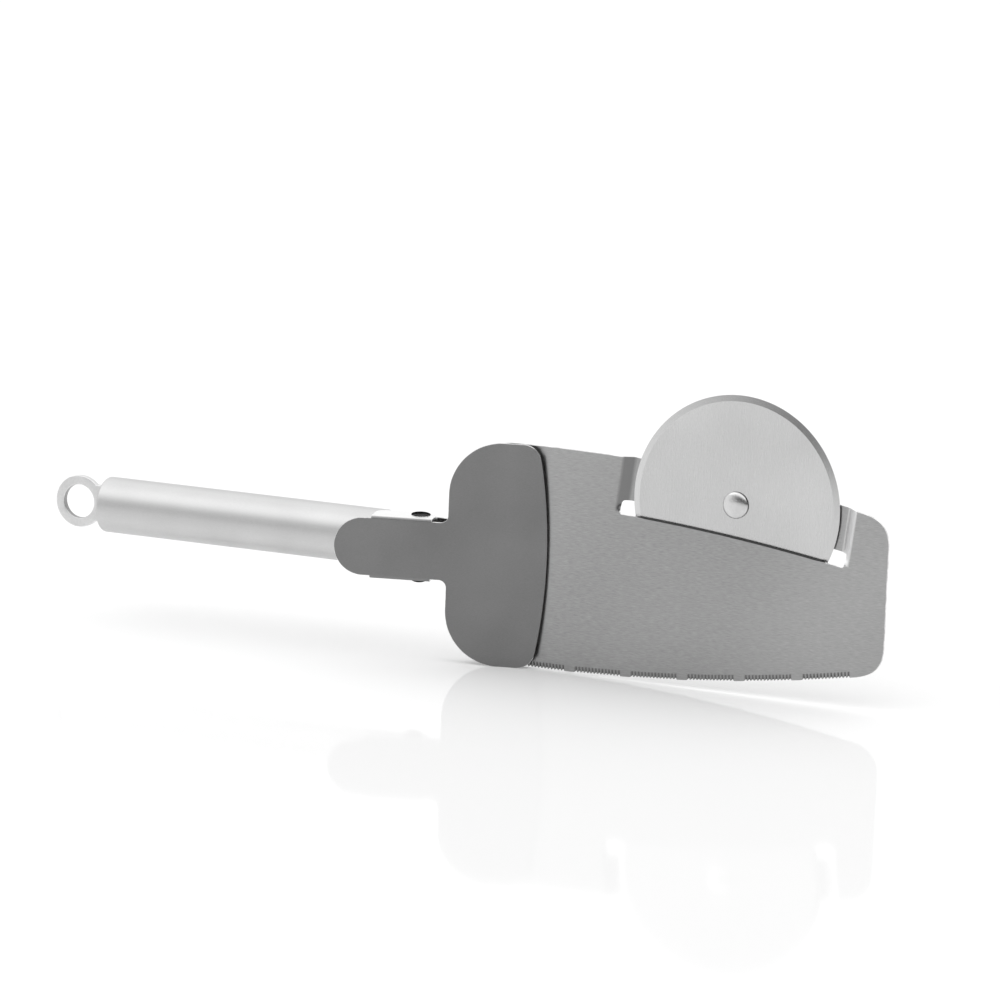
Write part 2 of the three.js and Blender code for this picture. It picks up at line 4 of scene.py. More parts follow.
import bmesh
import bpy
from mathutils import Matrix, Vector
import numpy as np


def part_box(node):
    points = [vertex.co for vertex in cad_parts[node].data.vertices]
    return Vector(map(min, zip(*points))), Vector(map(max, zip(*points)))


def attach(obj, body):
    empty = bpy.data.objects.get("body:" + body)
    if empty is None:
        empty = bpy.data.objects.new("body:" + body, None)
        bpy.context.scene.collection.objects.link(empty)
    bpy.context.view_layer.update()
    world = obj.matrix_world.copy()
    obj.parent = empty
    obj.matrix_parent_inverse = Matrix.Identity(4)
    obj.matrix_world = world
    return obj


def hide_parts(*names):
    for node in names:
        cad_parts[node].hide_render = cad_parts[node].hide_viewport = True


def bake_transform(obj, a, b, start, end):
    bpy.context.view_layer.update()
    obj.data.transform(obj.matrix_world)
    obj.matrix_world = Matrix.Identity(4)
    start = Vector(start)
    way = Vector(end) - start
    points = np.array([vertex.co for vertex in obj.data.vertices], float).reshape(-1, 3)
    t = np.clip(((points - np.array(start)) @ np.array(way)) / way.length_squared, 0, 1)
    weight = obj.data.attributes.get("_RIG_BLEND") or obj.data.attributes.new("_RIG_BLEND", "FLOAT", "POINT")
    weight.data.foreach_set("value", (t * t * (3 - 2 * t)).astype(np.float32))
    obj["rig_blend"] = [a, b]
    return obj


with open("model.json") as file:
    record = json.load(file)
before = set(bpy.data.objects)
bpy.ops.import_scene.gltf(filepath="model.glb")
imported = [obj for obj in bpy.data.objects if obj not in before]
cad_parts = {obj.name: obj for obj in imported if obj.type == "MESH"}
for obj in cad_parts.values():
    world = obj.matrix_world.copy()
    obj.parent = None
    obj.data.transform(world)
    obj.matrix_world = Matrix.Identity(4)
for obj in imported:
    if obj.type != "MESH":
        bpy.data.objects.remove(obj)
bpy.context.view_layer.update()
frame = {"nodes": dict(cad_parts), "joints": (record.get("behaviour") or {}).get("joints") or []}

# Handle tube: a drawn stainless tube, brushed along its length and open at the front, where the plug goes in.
# Its rear end is closed, with a small rounded edge, and the hanging ring is welded to it.
mm = 0.001
tube_low, tube_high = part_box("handle_tube")
tube_radius = (tube_high.z - tube_low.z) / 2
tube_length = tube_high.x - tube_low.x
tube_wall = 1.0 * mm
tube_bore = tube_radius - tube_wall
tube_edge = 1.0 * mm
tube_lip = 0.3 * mm
tube_facets = 160
tube_edge_steps = 8
tube_lip_steps = 4
handle_y = (tube_low.y + tube_high.y) / 2
handle_z = (tube_low.z + tube_high.z) / 2
on_axis = 1e-7
squareness = 0.9999


def even(first, last, steps):
    """Evenly spaced values, ends included."""
    return [first + (last - first) * i / steps for i in range(steps + 1)]


def arc(across, along, radius, start, end, steps):
    """Points on an arc about a centre, from one angle in degrees to another."""
    angles = [math.radians(angle) for angle in even(start, end, steps)]
    return [(across + radius * math.cos(a), along + radius * math.sin(a)) for a in angles]


def circle(across, along, radius, points):
    """Points round a whole circle."""
    return arc(across, along, radius, 0, 360 - 360 / points, points - 1)


def turned(profile, facets, place):
    """A shape turned from (radius, height) points about its own Z axis, then put in its place."""
    shape = bmesh.new()
    rings = []
    for radius, height in profile:
        if radius < on_axis:
            rings.append([shape.verts.new((0, 0, height))] * facets)
        else:
            rings.append([shape.verts.new((x, y, height)) for x, y in circle(0, 0, radius, facets)])
    if profile[0] == profile[-1] and profile[0][0] > 0:
        bmesh.ops.delete(shape, geom=rings[-1], context="VERTS")
        rings[-1] = rings[0]
    for lower, upper in zip(rings, rings[1:]):
        for i in range(facets):
            j = (i + 1) % facets
            corners = list(dict.fromkeys((lower[i], lower[j], upper[j], upper[i])))
            if len(corners) > 2:
                shape.faces.new(corners)
    bmesh.ops.recalc_face_normals(shape, faces=shape.faces)
    shape.transform(place)
    return shape


def piece(name, shape, material):
    """A shape as an object of its own."""
    mesh = bpy.data.meshes.new(name)
    shape.to_mesh(mesh)
    shape.free()
    mesh.materials.append(material)
    made = bpy.data.objects.new(name, mesh)
    bpy.context.scene.collection.objects.link(made)
    return made


def keep_result(made):
    """Turns what an object's modifiers give into its plain mesh, and removes them."""
    graph = bpy.context.evaluated_depsgraph_get()
    evaluated = made.evaluated_get(graph)
    result = bpy.data.meshes.new_from_object(evaluated, preserve_all_data_layers=True, depsgraph=graph)
    made.modifiers.clear()
    made.data = result


def smooth_but_creased(made, crease=30, flat=None):
    """Shades a piece smooth but for its creases. Faces square to a flat direction stay flat throughout."""
    made.data.shade_smooth()
    made.data.set_sharp_from_angle(angle=math.radians(crease))
    if flat is not None:
        shape = bmesh.new()
        shape.from_mesh(made.data)
        for edge in shape.edges:
            if len({abs(face.normal.dot(flat)) > squareness for face in edge.link_faces}) == 2:
                edge.smooth = False
        shape.to_mesh(made.data)
        shape.free()
    weighted = made.modifiers.new("even", "WEIGHTED_NORMAL")
    weighted.keep_sharp = True
    keep_result(made)


def feed(tree, place, value):
    """Gives an input its value: a plain one, or another node's output."""
    if isinstance(value, bpy.types.NodeSocket):
        tree.links.new(value, place)
    else:
        place.default_value = value


def add(tree, kind, inputs=None, **settings):
    """A new node with its settings and its inputs."""
    made = tree.nodes.new(kind)
    for setting, value in settings.items():
        setattr(made, setting, value)
    for place, value in (inputs or {}).items():
        feed(tree, made.inputs[place], value)
    return made


def calculate(tree, operation, *values):
    """The result of one sum on sockets and plain numbers."""
    return add(tree, "ShaderNodeMath", dict(enumerate(values)), operation=operation).outputs[0]


def mapped(tree, value, old_range, new_range, **settings):
    """A value moved from one range to another."""
    labels = ("Value", "From Min", "From Max", "To Min", "To Max")
    inputs = dict(zip(labels, (value, *old_range, *new_range)))
    return add(tree, "ShaderNodeMapRange", inputs, **settings).outputs[0]


def mixed(tree, share, first, second):
    """A value that goes from a first to a second by a share."""
    return add(tree, "ShaderNodeMix", {0: share, 2: first, 3: second}, data_type="FLOAT").outputs[0]


def node_group(name, kind, inputs, outputs):
    """An empty node group with its two ends. Its sockets are given as their labels and kinds."""
    tree = bpy.data.node_groups.new(name, kind)
    for way, sockets in (("INPUT", inputs), ("OUTPUT", outputs)):
        for label, sort in sockets.items():
            tree.interface.new_socket(label, in_out=way, socket_type="NodeSocket" + sort)
    return tree, add(tree, "NodeGroupInput"), add(tree, "NodeGroupOutput")


# Fine parallel scratches of a sanding belt, with broad soft patches of lighter and darker tone.
brushed_grain, start, end = node_group(
    "brushed_grain",
    "ShaderNodeTree",
    {"Vector": "Vector", "Scratches": "Vector", "Patches": "Float"},
    {"Lines": "Float", "Shade": "Float"},
)
place = start.outputs["Vector"]
scratch_counts = {0: place, 1: start.outputs["Scratches"]}
stretched = add(brushed_grain, "ShaderNodeVectorMath", scratch_counts, operation="MULTIPLY")
fine_noise = {"Vector": stretched.outputs[0], "Scale": 1, "Detail": 3, "Roughness": 0.62}
broad_noise = {"Vector": place, "Scale": start.outputs["Patches"], "Detail": 2, "Roughness": 0.5}
fine = add(brushed_grain, "ShaderNodeTexNoise", fine_noise).outputs["Fac"]
broad = add(brushed_grain, "ShaderNodeTexNoise", broad_noise).outputs["Fac"]
both = calculate(brushed_grain, "ADD", fine, broad)
feed(brushed_grain, end.inputs["Lines"], fine)
feed(brushed_grain, end.inputs["Shade"], calculate(brushed_grain, "MULTIPLY", both, 0.5))

# Rims that handling and washing have rubbed bright, here more and there less.
edge_wear, start, end = node_group(
    "edge_wear",
    "ShaderNodeTree",
    {"Vector": "Vector", "Edge": "Float"},
    {"Wear": "Float"},
)
spot_noise = {"Vector": start.outputs["Vector"], "Scale": 420, "Detail": 3}
spots = add(edge_wear, "ShaderNodeTexNoise", spot_noise).outputs["Fac"]
spot_range = (0.3, 0.65)
wear_range = (0.25, 1)
worn = mapped(edge_wear, spots, spot_range, wear_range)
feed(edge_wear, end.inputs["Wear"], calculate(edge_wear, "MULTIPLY", worn, start.outputs["Edge"]))
shade_range = (0.35, 0.65)
line_range = (0.3, 0.7)
relief_strength = 0.5


def steel(name, greys, roughness, scratches, patches, depth, wear_and_highlight_grey, rim_roughness):
    """Brushed steel, brighter on its worn rims and where its mesh marks a painted highlight.

    Scratches, along each axis, and patches are counts per metre.
    """
    material = bpy.data.materials.new(name)
    material.use_nodes = True
    tree = material.node_tree
    place = add(tree, "ShaderNodeTexCoord").outputs["Object"]
    grain_inputs = {"Vector": place, "Scratches": scratches, "Patches": patches}
    grain = add(tree, "ShaderNodeGroup", grain_inputs, node_tree=brushed_grain)
    rim = add(tree, "ShaderNodeAttribute", attribute_name="rim").outputs["Fac"]
    painted_highlight = add(tree, "ShaderNodeAttribute", attribute_name="painted_highlight").outputs["Fac"]
    wear = add(tree, "ShaderNodeGroup", {"Vector": place, "Edge": rim}, node_tree=edge_wear)
    bright = calculate(tree, "MAXIMUM", wear.outputs["Wear"], painted_highlight)
    grey = mapped(tree, grain.outputs["Shade"], shade_range, greys)
    dull = mapped(tree, grain.outputs["Lines"], line_range, roughness)
    relief = {"Strength": relief_strength, "Distance": depth, "Height": grain.outputs["Lines"]}
    shader = tree.nodes["Principled BSDF"]
    feed(tree, shader.inputs["Metallic"], 1)
    feed(tree, shader.inputs["Base Color"], mixed(tree, bright, grey, wear_and_highlight_grey))
    feed(tree, shader.inputs["Roughness"], mixed(tree, bright, dull, rim_roughness))
    feed(tree, shader.inputs["Normal"], add(tree, "ShaderNodeBump", relief).outputs[0])
    return material


def overlaid(material, attribute, label, value):
    """Gives one of a steel's inputs another value where one of its mesh's attributes says so."""
    tree = material.node_tree
    target = tree.nodes["Principled BSDF"].inputs[label]
    mask = add(tree, "ShaderNodeAttribute", attribute_name=attribute).outputs["Fac"]
    feed(tree, target, mixed(tree, mask, target.links[0].from_socket, value))


tube_steel = steel(
    "bright_tube_steel",
    greys=(0.54, 0.62),
    roughness=(0.38, 0.48),
    scratches=(900, 5200, 5200),
    patches=35,
    depth=0.01 * mm,
    wear_and_highlight_grey=0.9,
    rim_roughness=0.2,
)
tube_profile = [(0, 0)]
tube_profile += arc(tube_radius - tube_edge, tube_edge, tube_edge, -90, 0, tube_edge_steps)
tube_profile += arc(tube_radius - tube_lip, tube_length - tube_lip, tube_lip, 0, 90, tube_lip_steps)
tube_profile += [(tube_bore, tube_length), (tube_bore, tube_wall), (0, tube_wall)]
tube_place = Matrix.Translation((tube_low.x, handle_y, handle_z)) @ Matrix.Rotation(math.pi / 2, 4, "Y")
tube = piece("tube_skin", turned(tube_profile, tube_facets, tube_place), tube_steel)
smooth_but_creased(tube)
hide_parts("handle_tube")
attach(tube, "handle")

# Handle plug: a turned steel disc pressed into the tube's front end, with a slot that grips the blade's tang.
# It is seen only as a dull face inside the tube's mouth.
plug_steel = steel(
    "plug_steel",
    greys=(0.46, 0.58),
    roughness=(0.36, 0.5),
    scratches=(2500, 2500, 2500),
    patches=200,
    depth=0.01 * mm,
    wear_and_highlight_grey=0.62,
    rim_roughness=0.3,
)


def coat(node, material):
    """Gives a node that keeps its own shape another material."""
    slots = frame["nodes"][node].data.materials
    slots.clear()
    slots.append(material)


coat("handle_plug", plug_steel)

# Hanging ring: a flat washer with a short stem, stamped from thick stainless strip and tumbled smooth.
# The stem goes through a slot in the tube's rear end and is welded inside.
ring_low, ring_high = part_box("hanging_ring")
ring_thickness = ring_high.y - ring_low.y
ring_radius = (ring_high.z - ring_low.z) / 2
ring_hole = 6.1 * mm
ring_stem = 6.6 * mm
ring_round = 0.35 * mm
ring_x = ring_low.x + ring_radius
ring_steps = 90
ring_round_steps = 3
eye_facets = 60
eye_slope = 0.5
eye_grey = 0.3
least_rim_angle = math.radians(55)


def fill(shape, outline, holes=(), y=0.0):
    """Flat triangles inside an outline of (x, z) points and outside its holes."""
    edges = []
    for loop in (outline, *holes):
        corners = [shape.verts.new((x, y, z)) for x, z in loop]
        edges += [shape.edges.new((corners[i - 1], corners[i])) for i in range(len(corners))]
    made = bmesh.ops.triangle_fill(shape, use_beauty=True, use_dissolve=False, edges=edges)
    faces = [face for face in made["geom"] if isinstance(face, bmesh.types.BMFace)]
    for face in faces:
        face.normal_update()
        if face.normal.y > 0:
            face.normal_flip()


def new_sheet():
    """An empty shape for sheet metal, with marks for rims, sheared sides, a painted highlight and the drawn
    slope that is painted in shade.
    """
    shape = bmesh.new()
    for mark in ("rim", "sheared"):
        shape.faces.layers.float.new(mark)
    for mark in ("painted_highlight", "drawn"):
        shape.verts.layers.float.new(mark)
    return shape


def thicken(shape, thickness):
    """Gives a sheet its thickness behind its faces, closes its sides and returns the vertices of its back."""
    rim = shape.faces.layers.float["rim"]
    shape.normal_update()
    faces = shape.faces[:]
    sides = [edge for edge in shape.edges if edge.is_boundary]
    back = {}
    for vert in shape.verts[:]:
        back[vert] = shape.verts.new(vert.co - vert.normal * thickness * vert.calc_shell_factor(), vert)
    for face in faces:
        shape.faces.new([back[vert] for vert in reversed(face.verts)])
    for edge in sides:
        loop = edge.link_loops[0]
        first, second = loop.vert, loop.link_loop_next.vert
        side = shape.faces.new((second, first, back[first], back[second]))
        side[rim] = 1
    shape.normal_update()
    return list(back.values())


def round_rims(shape, radius, steps, wanted=None):
    """Rounds the edges where a sheet's faces meet its sides."""
    rim = shape.faces.layers.float["rim"]
    edges = []
    for edge in shape.edges:
        if len(edge.link_faces) != 2 or edge.calc_face_angle() < least_rim_angle:
            continue
        if wanted is None or wanted(edge):
            edges.append(edge)
    made = bmesh.ops.bevel(
        shape, geom=edges, offset=radius, segments=steps, profile=0.5, affect="EDGES", clamp_overlap=False
    )
    for face in made["faces"]:
        face[rim] = 1


def mark_sheared(shape, slope, wanted):
    """Marks the sides that a die sheared: faces that lean past a slope and have a wanted middle."""
    shape.normal_update()
    sheared = shape.faces.layers.float["sheared"]
    for face in shape.faces:
        if abs(face.normal.y) < slope and wanted(face.calc_center_median()):
            face[sheared] = 1


def in_eye(point):
    """Whether a point lies on the wall of the ring's eye."""
    return math.hypot(point.x - ring_x, point.z - handle_z) < ring_hole + ring_round


ring_steel = steel(
    "tumbled_ring_steel",
    greys=(0.6, 0.72),
    roughness=(0.34, 0.46),
    scratches=(1400, 1400, 1400),
    patches=160,
    depth=0.012 * mm,
    wear_and_highlight_grey=0.7,
    rim_roughness=0.26,
)
overlaid(ring_steel, "sheared", "Base Color", eye_grey)
stem_angle = math.degrees(math.asin(ring_stem / ring_radius))
ring_outline = arc(ring_x, handle_z, ring_radius, stem_angle, 360 - stem_angle, ring_steps)
ring_outline += [(ring_high.x, handle_z - ring_stem), (ring_high.x, handle_z + ring_stem)]
ring_shape = new_sheet()
fill(ring_shape, ring_outline, [circle(ring_x, handle_z, ring_hole, eye_facets)], ring_low.y)
thicken(ring_shape, ring_thickness)
round_rims(ring_shape, ring_round, ring_round_steps)
mark_sheared(ring_shape, eye_slope, in_eye)
ring = piece("ring_stamping", ring_shape, ring_steel)
smooth_but_creased(ring, crease=40)
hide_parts("hanging_ring")
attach(ring, "handle")

# Server blade: one stamping of satin stainless sheet, with a tang that enters the plug. Its upper part is
# sheared along a slanting slit and pressed back as a bridge for the wheel. Its lower edge is ground in groups
# of small teeth. Places are measured from the clamp's pivot and the handle's axis.
joints = {joint["name"]: joint for joint in frame["joints"]}
pivot = Vector(joints["clamp_squeeze"]["pos_m"])
datum = Vector((pivot.x, handle_y, handle_z))
sheet = 1.0 * mm
blade_front = -1.9 * mm
blade_tip = 172.6 * mm
blade_half = 39.2 * mm
tip_half = 26.4 * mm
curve_start = 45 * mm
tip_corner = 9.0 * mm
shoulder_x = 14 * mm
shoulder_radius = 19 * mm
neck_fillet = 3 * mm
neck_half = 9.8 * mm
tang_half = 7 * mm
tang_end = -30.5 * mm
ear_radius = 4.5 * mm
ear_pin = 2.15 * mm
axle = Vector(joints["wheel_spin"]["pos_m"]) - datum
bridge_back = 2.8 * mm
slit_drop = 10.95 * mm
slit_tilt = math.radians(6.7)
slit_radius = 714 * mm
tab_left = -40.28 * mm
tab_right = 38.72 * mm
ramp_run = 4.5 * mm
ramp_soft = 0.22
hole_inset = 2.0 * mm
hole_width = 7 * mm
hole_above = 4.5 * mm
hole_below = 0.2 * mm
hole_round = 0.9 * mm
axle_hole = 2.15 * mm
first_tooth = 37.4 * mm
tooth_pitch = 1.25 * mm
tooth_depth = 0.7 * mm
flute_height = 2.3 * mm
flute_depth = 0.5 * mm
teeth_per_group = 14
tooth_groups = 6
smooth_gap = 3.7 * mm
rim_round = 0.12 * mm
slit_round = 0.4 * mm
weld_distance = 0.002 * mm
columns_per_tooth = 6
strip_rows = 5
bridge_rows = 4
fade_rows = 6
ramp_columns = 8
slit_steps = 24
fillet_steps = 8
shoulder_steps = 30
tip_steps = 16
hole_steps = 6
edge_steps = 10
bridge_edge_steps = 20
ear_steps = 24
rim_steps = 2
slit_round_steps = 4
axle_hole_facets = 45
pin_hole_facets = 24
edge_tries = 8
rim_slope = 0.99
cutting_share = 0.99
strip_share = 0.01
# Painted shade: the hollows of the teeth's flutes are darkened.
flute_shade_grey = 0.12
# Painted shade: the sheared sides along the slit and at the lever's jaw are near black, for the dark gaps
# beside them.
gap_shade_grey = 0.05
# Painted shade: the left ramp's drawn slope is darkened.
ramp_shade_grey = 0.22

strip_length = tooth_groups * teeth_per_group * tooth_pitch + (tooth_groups - 1) * smooth_gap
strip_columns = round(strip_length / tooth_pitch * columns_per_tooth)
strip = even(first_tooth, first_tooth + strip_length, strip_columns)
ramp_left = tab_left - ramp_run
ramp_right = tab_right + ramp_run
hole_left = ramp_left + hole_inset
hole_right = ramp_right - hole_inset
left_inner = hole_left + hole_width
right_inner = hole_right - hole_width
hole_top = hole_above - hole_round
hole_low = hole_round - hole_below
corner_x = blade_tip - tip_corner
flat_end = shoulder_x + shoulder_radius
neck_start = -ear_radius - neck_fillet
tang_start = neck_start - neck_half + tang_half
front_edge = blade_front + rim_round


def half_width(x):
    """Half the blade's width: parallel at first, then falling away in a long curve."""
    share = max(0.0, x - curve_start) / (blade_tip - curve_start)
    return blade_half - (blade_half - tip_half) * share**2


def at_slit(u, w):
    """Place (x, z) of a point u along the slit, a flat arc, from under the axle, and w above it."""
    v = w - u * u / (2 * slit_radius)
    x = axle.x + u * math.cos(slit_tilt) + v * math.sin(slit_tilt)
    return x, axle.z - slit_drop - u * math.sin(slit_tilt) + v * math.cos(slit_tilt)


def along_slit(points):
    """Places (x, z) of points given as (u, w)."""
    return [at_slit(u, w) for u, w in points]


def upper_edge(u):
    """Height above the slit at which a line square to it meets the blade's upper edge."""
    w = slit_drop
    for _ in range(edge_tries):
        x, z = at_slit(u, w)
        w += half_width(x) - z
    return w


def side_heights(u):
    """Heights up a line square to the slit: beside the relief hole, then over it to the upper edge."""
    return even(hole_low, hole_top, fade_rows)[:-1] + even(hole_top, upper_edge(u), bridge_rows)


def curve(first, corner, last, steps):
    """Points on a curve that is drawn towards a corner, its first point left out."""
    points = []
    for i in range(1, steps + 1):
        t = i / steps
        weights = ((1 - t) ** 2, 2 * t * (1 - t), t * t)
        points.append(tuple(sum(w * p[k] for w, p in zip(weights, (first, corner, last))) for k in (0, 1)))
    return points


def edge_points(start, end, steps):
    """Points along the blade's upper edge, between two places along the blade."""
    return [(x, half_width(x)) for x in even(start, end, steps)]


tip_edge = half_width(blade_tip)
tip_side = tip_edge - tip_corner
corner_half = half_width(corner_x)
strip_first = -half_width(strip[0])
strip_last = -half_width(strip[-1])
outline = [(tang_end, -tang_half), (tang_start, -tang_half), (neck_start, -neck_half)]
outline += arc(shoulder_x - neck_fillet, -neck_half - neck_fillet, neck_fillet, 90, 0, fillet_steps)
outline += arc(flat_end, shoulder_radius - blade_half, shoulder_radius, 180, 270, shoulder_steps)
outline += [(strip[0], z) for z in even(strip_first, strip_first + flute_height, strip_rows)]
outline += [(x, flute_height - half_width(x)) for x in strip[1:-1]]
outline += [(strip[-1], z) for z in even(strip_last + flute_height, strip_last, strip_rows)]
outline += [(corner_x, -corner_half)]
outline += curve((corner_x, -corner_half), (blade_tip, -tip_edge), (blade_tip, -tip_side), tip_steps)
outline += [(blade_tip, tip_side)]
outline += curve((blade_tip, tip_side), (blade_tip, tip_edge), (corner_x, corner_half), tip_steps)
outline += along_slit([(ramp_right, w) for w in reversed(side_heights(ramp_right))])
outline += along_slit([(u, hole_low) for u in even(ramp_right, hole_right, ramp_columns)[1:]])
outline += along_slit(arc(hole_right - hole_round, hole_low, hole_round, 0, -90, hole_steps)[1:])
outline += along_slit([(right_inner + hole_round, -hole_below)])
outline += along_slit([(u, 0) for u in even(right_inner, left_inner, slit_steps)])
outline += along_slit([(left_inner - hole_round, -hole_below)])
outline += along_slit(arc(hole_left + hole_round, hole_low, hole_round, -90, -180, hole_steps))
outline += along_slit([(u, hole_low) for u in even(hole_left, ramp_left, ramp_columns)[1:]])
outline += along_slit([(ramp_left, w) for w in side_heights(ramp_left)[1:]])
outline += edge_points(outline[-1][0], curve_start, edge_steps)[1:] + [(flat_end, blade_half)]
outline += arc(flat_end, blade_half - shoulder_radius, shoulder_radius, 90, 180, shoulder_steps)[1:]
outline += arc(shoulder_x - neck_fillet, neck_half + neck_fillet, neck_fillet, 0, -90, fillet_steps)
outline += [(neck_start, neck_half), (tang_start, tang_half), (tang_end, tang_half)]

bridge = along_slit([(tab_left, w) for w in even(upper_edge(tab_left), hole_above, bridge_rows)])
bridge += along_slit(arc(left_inner - hole_round, hole_top, hole_round, 90, 0, hole_steps))
bridge += along_slit([(u, 0) for u in even(left_inner, right_inner, slit_steps)])
bridge += along_slit(arc(right_inner + hole_round, hole_top, hole_round, 180, 90, hole_steps))
bridge += along_slit([(tab_right, w) for w in even(hole_above, upper_edge(tab_right), bridge_rows)])
bridge += edge_points(bridge[-1][0], bridge[0][0], bridge_edge_steps)[1:-1]


def grid(shape, columns):
    """Quads between columns of (x, y, z) points, which all have as many points."""
    verts = [[shape.verts.new(point) for point in column] for column in columns]
    for first, second in zip(verts, verts[1:]):
        for i in range(len(first) - 1):
            face = shape.faces.new((first[i], second[i], second[i + 1], first[i + 1]))
            face.normal_update()
            if face.normal.y > 0:
                face.normal_flip()
    return verts


def over_hole(u):
    """Height of the bridge's lower edge over a ramp, rounded where it meets the blade."""
    lost = max(0.0, hole_round - min(u - hole_left, hole_right - u))
    return hole_top + math.sqrt(hole_round**2 - lost**2)


def pressed(u, w):
    """How far back a ramp lies: a straight slope with soft bends, which fades out beside its relief hole."""
    share = min(1.0, max(0.0, min(u - ramp_left, ramp_right - u) / ramp_run))
    end_share = min(share, 1 - share)
    if end_share < ramp_soft:
        bent = end_share**2 / (2 * ramp_soft * (1 - ramp_soft))
        slope = bent if share < 0.5 else 1 - bent
    else:
        slope = (share - ramp_soft / 2) / (1 - ramp_soft)
    fade = min(1.0, max(0.0, (w - hole_low) / (hole_top - hole_low)))
    return bridge_back * slope * fade * fade * (3 - 2 * fade)


def ramp_column(u, heights):
    """A column of points up a ramp."""
    column = []
    for w in heights:
        x, z = at_slit(u, w)
        column.append((x, blade_front + pressed(u, w), z))
    return column


def mark_slope(verts, places, mark):
    """Marks the columns of a ramp's slope, for painted shade on the one ramp and a painted highlight on the
    other, and leaves its two ends.
    """
    layer = blade_shape.verts.layers.float[mark]
    for column, u in zip(verts, places):
        share = min(u - ramp_left, ramp_right - u) / ramp_run
        for vert in column:
            vert[layer] = max(0.0, min(1.0, min(share, 1 - share) / ramp_soft))


def near_slit(point, reach):
    """Whether a point lies close to the sheared line between the two holes."""
    x, z = point.x - axle.x, point.z - axle.z + slit_drop
    u = x * math.cos(slit_tilt) - z * math.sin(slit_tilt)
    w = x * math.sin(slit_tilt) + z * math.cos(slit_tilt) + u * u / (2 * slit_radius)
    return left_inner - reach < u < right_inner + reach and abs(w) < reach


def rolled_in(edge):
    """Whether an edge is the front one of the slit, which the shear drew in."""
    return all(vert.co.y < front_edge and near_slit(vert.co, rim_round) for vert in edge.verts)


def plain_rim(edge):
    """Whether an edge is neither rolled in nor a cutting one."""
    roll_end = front_edge + slit_round
    drawn = all(vert.co.y < roll_end and near_slit(vert.co, 2 * slit_round) for vert in edge.verts)
    return not drawn and max(vert[toward_edge] for vert in edge.verts) < cutting_share


blade_shape = new_sheet()
toward_edge = blade_shape.verts.layers.float.new("toward_edge")
front_side = blade_shape.verts.layers.float.new("front_side")
fill(blade_shape, outline, y=blade_front)
fill(blade_shape, bridge, [circle(axle.x, axle.z, axle_hole, axle_hole_facets)], blade_front + bridge_back)
# The left ramp's slope is painted in shade.
left_ramp = (ramp_left, hole_left, tab_left, "drawn")
# The right ramp's slope gets a painted highlight.
right_ramp = (ramp_right, hole_right, tab_right, "painted_highlight")
for ramp, hole, tab, mark in (left_ramp, right_ramp):
    places = even(ramp, hole, ramp_columns)
    columns = [ramp_column(u, side_heights(u)) for u in places]
    mark_slope(grid(blade_shape, columns), places, mark)
    places = even(hole, tab, ramp_columns)
    columns = [ramp_column(u, even(over_hole(u), upper_edge(u), bridge_rows)) for u in places]
    mark_slope(grid(blade_shape, columns), places, mark)
columns = []
for x in strip:
    heights = even(-half_width(x), flute_height - half_width(x), strip_rows)
    columns.append([(x, blade_front, z) for z in heights])
for column in grid(blade_shape, columns):
    for i, vert in enumerate(column):
        vert[toward_edge] = 1 - i / strip_rows
bmesh.ops.remove_doubles(blade_shape, verts=blade_shape.verts, dist=weld_distance)
for vert in blade_shape.verts:
    vert[front_side] = 1
for vert in thicken(blade_shape, sheet):
    vert[front_side] = 0
round_rims(blade_shape, slit_round, slit_round_steps, rolled_in)
round_rims(blade_shape, rim_round, rim_steps, plain_rim)
mark_sheared(blade_shape, rim_slope, lambda point: near_slit(point, slit_round))


def lay_flat(shape, height):
    """Turns a shape drawn in X and Z so that it lies in X and Y at a height."""
    shape.transform(Matrix(((1, 0, 0, 0), (0, 0, 1, 0), (0, 1, 0, height), (0, 0, 0, 1))))
    bmesh.ops.recalc_face_normals(shape, faces=shape.faces)


def join(shape, other):
    """Takes another shape into this one."""
    mesh = bpy.data.meshes.new("joined")
    other.to_mesh(mesh)
    other.free()
    shape.from_mesh(mesh)
    bpy.data.meshes.remove(mesh)


# The two ears that carry the clamp's rivet are bent forward from the neck.
ear_y = pivot.y - handle_y
ear_foot = blade_front + sheet / 2
ear = [(-ear_radius, ear_foot)] + arc(0, ear_y, ear_radius, 180, 360, ear_steps) + [(ear_radius, ear_foot)]
for ear_height in (-neck_half, neck_half - sheet):
    ear_shape = new_sheet()
    fill(ear_shape, ear, [circle(0, ear_y, ear_pin, pin_hole_facets)])
    thicken(ear_shape, sheet)
    round_rims(ear_shape, rim_round, rim_steps)
    lay_flat(ear_shape, ear_height)
    join(blade_shape, ear_shape)
blade_shape.transform(Matrix.Translation(datum))

blade_steel = steel(
    "satin_blade_steel",
    greys=(0.28, 0.48),
    roughness=(0.28, 0.34),
    scratches=(420, 6400, 6400),
    # The blade's patches are few and wide, so that its tone changes slowly across it.
    patches=6,
    depth=0.006 * mm,
    wear_and_highlight_grey=0.9,
    rim_roughness=0.45,
)
# Painted shade in the hollows of the flutes.
overlaid(blade_steel, "flute", "Base Color", flute_shade_grey)
# Painted shade on the slit's sheared sides, for the dark gap between blade and wheel.
overlaid(blade_steel, "sheared", "Base Color", gap_shade_grey)
# Painted shade on the left ramp's drawn slope.
overlaid(blade_steel, "drawn", "Base Color", ramp_shade_grey)
blade = piece("blade_stamping", blade_shape, blade_steel)


socket_kinds = {int: "Int", float: "Float", Vector: "Vector"}


def geometry_tree(name, sizes):
    """An empty geometry tree with its two ends, a material and an input for each named size."""
    kinds = {label: socket_kinds[type(value)] for label, value in sizes.items()}
    inputs = {"Geometry": "Geometry", **kinds, "Material": "Material"}
    return node_group(name, "GeometryNodeTree", inputs, {"Geometry": "Geometry"})


